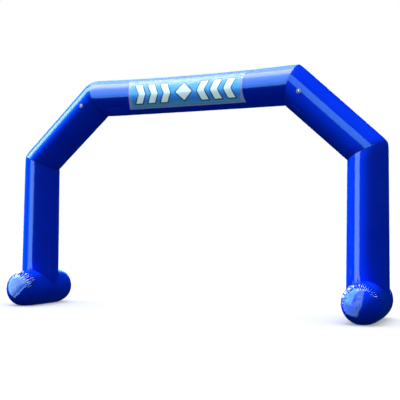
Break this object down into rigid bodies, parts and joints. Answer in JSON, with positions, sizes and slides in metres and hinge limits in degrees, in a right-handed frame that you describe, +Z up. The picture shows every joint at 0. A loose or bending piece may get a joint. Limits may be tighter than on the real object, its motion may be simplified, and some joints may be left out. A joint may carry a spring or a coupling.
{
  "type": "inflatable arch",
  "caption": "Free-standing inflatable arch: upright legs on round foot bars, slanting rakes and a level beam of glossy coated cloth, with a banner over the beam and tie rings.",
  "frame": {"origin": "on the ground, midway between the two feet, at the bottom centre of the arch's box", "axes": "+X along the span, from the left foot to the right foot as the banner is read; +Y along the passage, from the front with the banner to the back; +Z up"},
  "size_m": [6.56, 1.47, 4],
  "materials": {
    "blue_coated_cloth": "glossy PVC coating over woven polyester, royal blue",
    "banner_print": "satin printed banner cloth, azure ground with pale motifs",
    "clear_film": "clear soft PVC film, slightly frosted at its margin",
    "blue_webbing": "matt woven polyester webbing, dark blue",
    "ring_steel": "bright plated steel wire"
  },
  "bodies": {
    "root": {"left_foot": "blue_coated_cloth", "left_front_cap": "blue_coated_cloth", "left_back_cap": "blue_coated_cloth", "left_leg": "blue_coated_cloth", "left_rake": "blue_coated_cloth", "left_patch": "blue_coated_cloth", "left_keeper": "blue_webbing", "left_ring": "ring_steel", "right_foot": "blue_coated_cloth", "right_front_cap": "blue_coated_cloth", "right_back_cap": "blue_coated_cloth", "right_leg": "blue_coated_cloth", "right_rake": "blue_coated_cloth", "right_patch": "blue_coated_cloth", "right_keeper": "blue_webbing", "right_ring": "ring_steel", "beam": "blue_coated_cloth", "banner_print": "banner_print", "banner_window": "clear_film"}
  },
  "joints": []
}
